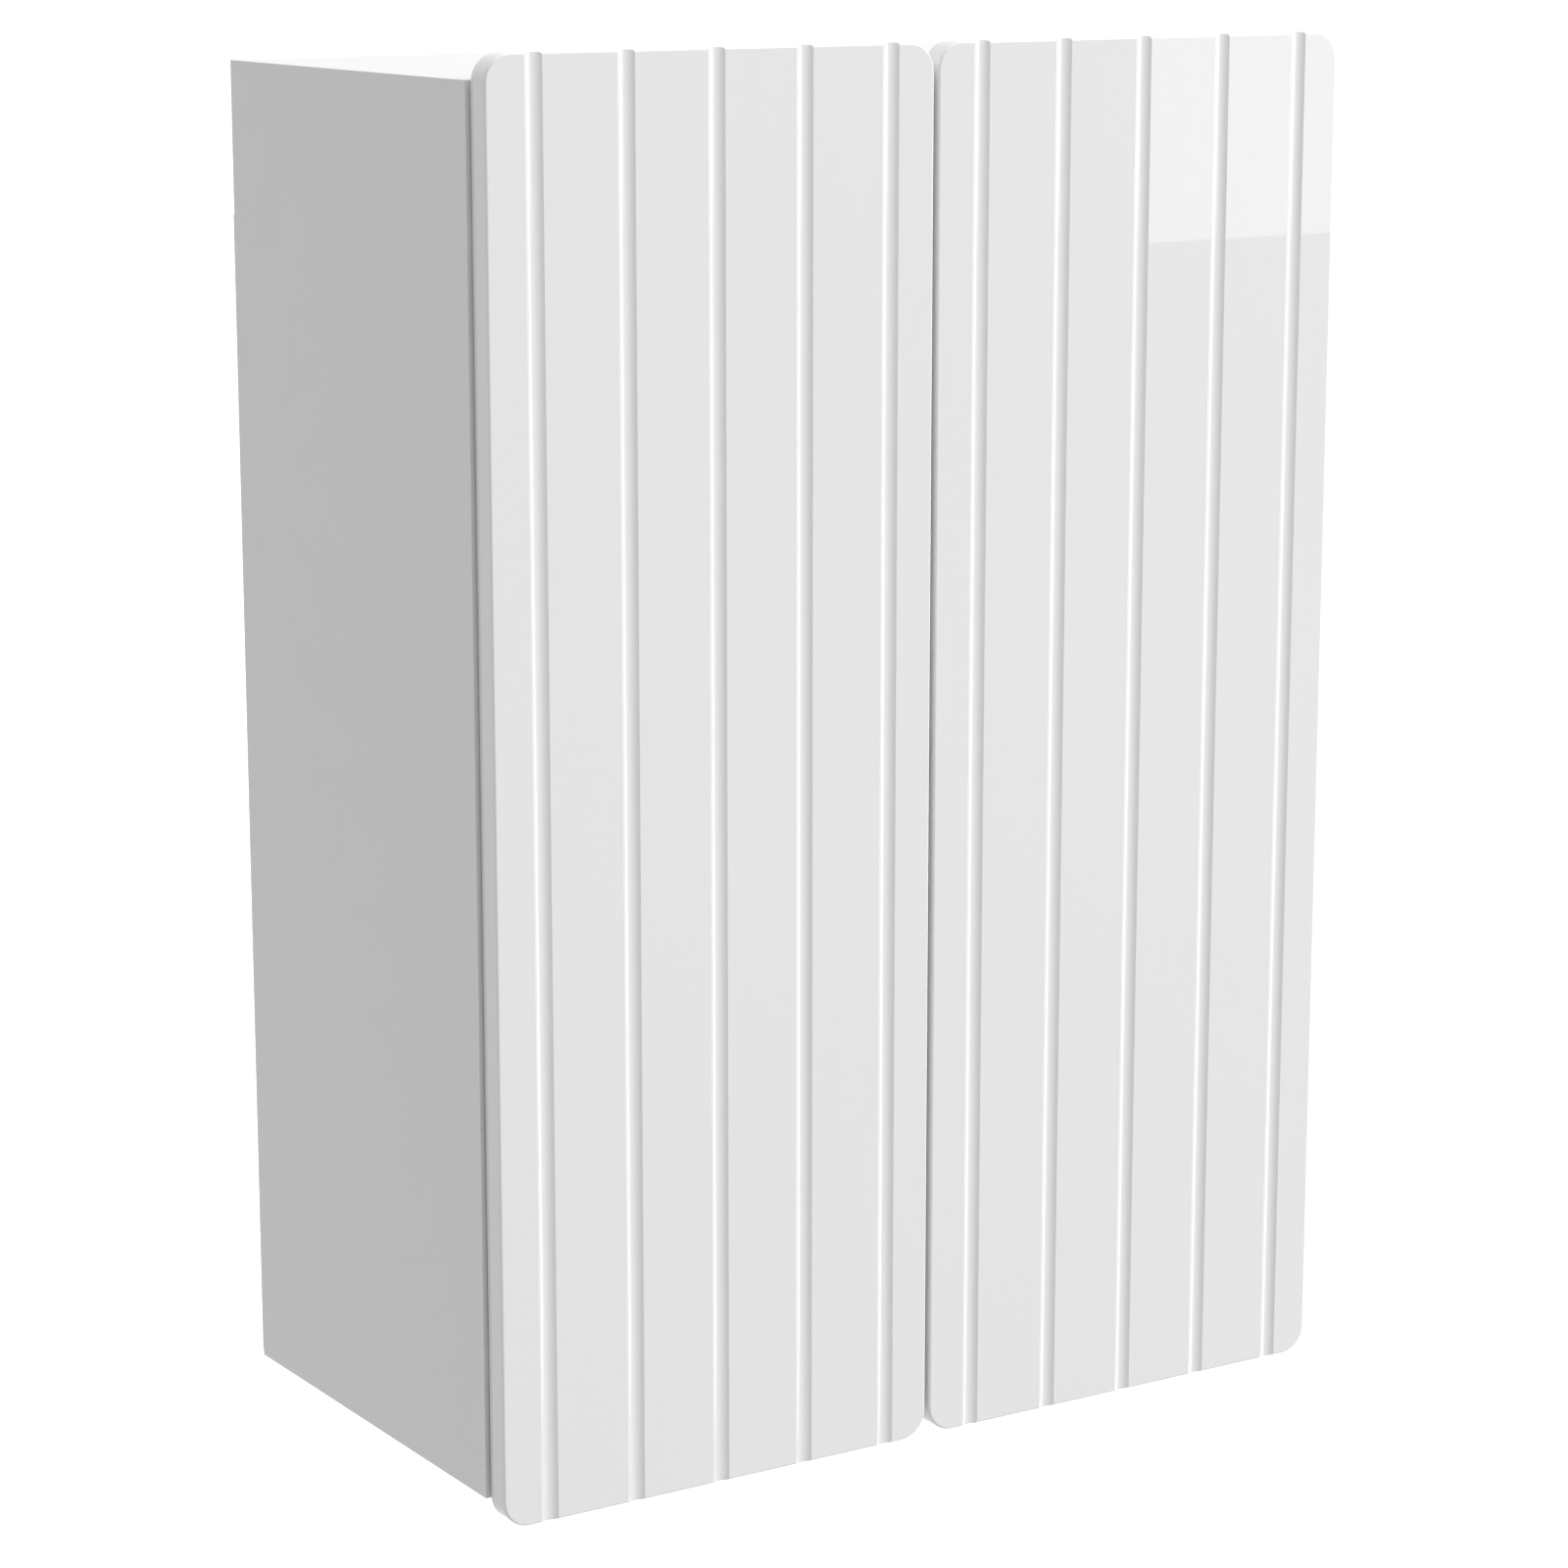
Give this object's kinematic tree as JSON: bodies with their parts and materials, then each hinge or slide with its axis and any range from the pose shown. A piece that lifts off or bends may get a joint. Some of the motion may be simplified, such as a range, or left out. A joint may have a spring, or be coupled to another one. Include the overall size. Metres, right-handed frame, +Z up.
{
  "type": "hanging wall cabinet",
  "caption": "White handleless wall cabinet with vertically grooved gloss doors on concealed hinges, adjustable shelves inside and keyhole hangers behind.",
  "frame": {"origin": "middle of the rear face, in the plane of the wall, at half the height", "axes": "+Z up, +Y into the wall, +X to the right as seen from the front"},
  "size_m": [0.6, 0.318, 0.85],
  "materials": {
    "door_gloss": "gloss",
    "carcass_board": "satin",
    "edge_band": "satin",
    "back_board": "matte",
    "beech": "matte",
    "clear_rubber": "satin",
    "cap_plastic": "satin",
    "zinc": "satin",
    "nickel": "polished"
  },
  "bodies": {
    "cabinet": {"back_nails": "zinc", "back_panel": "back_board", "bottom_panel": "carcass_board", "cam_bolts": "zinc", "cam_caps": "cap_plastic", "cam_locks": "zinc", "dowels": "beech", "edge_band_bottom": "edge_band", "edge_band_shelf_lower": "edge_band", "edge_band_shelf_upper": "edge_band", "edge_band_side_left": "edge_band", "edge_band_side_right": "edge_band", "edge_band_top": "edge_band", "hanger_plate_left": "zinc", "hanger_plate_right": "zinc", "hanger_screws": "zinc", "hanging_rail": "carcass_board", "hinge_arm_left_lower": "nickel", "hinge_arm_left_upper": "nickel", "hinge_arm_pins": "nickel", "hinge_arm_right_lower": "nickel", "hinge_arm_right_upper": "nickel", "hinge_arm_screws": "nickel", "hinge_plate_left_lower": "nickel", "hinge_plate_left_upper": "nickel", "hinge_plate_right_lower": "nickel", "hinge_plate_right_upper": "nickel", "hinge_plate_screws": "nickel", "shelf_lower": "carcass_board", "shelf_pins": "nickel", "shelf_upper": "carcass_board", "side_left": "carcass_board", "side_right": "carcass_board", "top_panel": "carcass_board"},
    "links_left": {"hinge_link_left_lower": "nickel", "hinge_link_left_upper": "nickel"},
    "links_right": {"hinge_link_right_lower": "nickel", "hinge_link_right_upper": "nickel"},
    "door_left": {"bumpers_left": "clear_rubber", "door_left": "door_gloss", "hinge_cup_left_lower": "nickel", "hinge_cup_left_upper": "nickel", "hinge_cup_pins_left": "nickel", "hinge_cup_screws_left": "nickel"},
    "door_right": {"bumpers_right": "clear_rubber", "door_right": "door_gloss", "hinge_cup_pins_right": "nickel", "hinge_cup_right_lower": "nickel", "hinge_cup_right_upper": "nickel", "hinge_cup_screws_right": "nickel"}
  },
  "joints": [
    {"name": "links_left_turn", "type": "hinge", "parent": "cabinet", "child": "links_left", "pos_m": [-0.274, -0.301, 0], "axis": [0, 0, -1], "range_deg": [-27, 0]},
    {"name": "door_left_open", "type": "hinge", "parent": "links_left", "child": "door_left", "pos_m": [-0.2898, -0.3064, 0], "axis": [0, 0, -1], "range_deg": [0, 120]},
    {"name": "links_right_turn", "type": "hinge", "parent": "cabinet", "child": "links_right", "pos_m": [0.274, -0.301, 0], "axis": [0, 0, 1], "range_deg": [-27, 0]},
    {"name": "door_right_open", "type": "hinge", "parent": "links_right", "child": "door_right", "pos_m": [0.2898, -0.3064, 0], "axis": [0, 0, 1], "range_deg": [0, 120]}
  ],
  "couplings": [
    {"joint": "links_left_turn", "follows": "door_left_open", "ratio": -0.22},
    {"joint": "links_right_turn", "follows": "door_right_open", "ratio": -0.22}
  ]
}
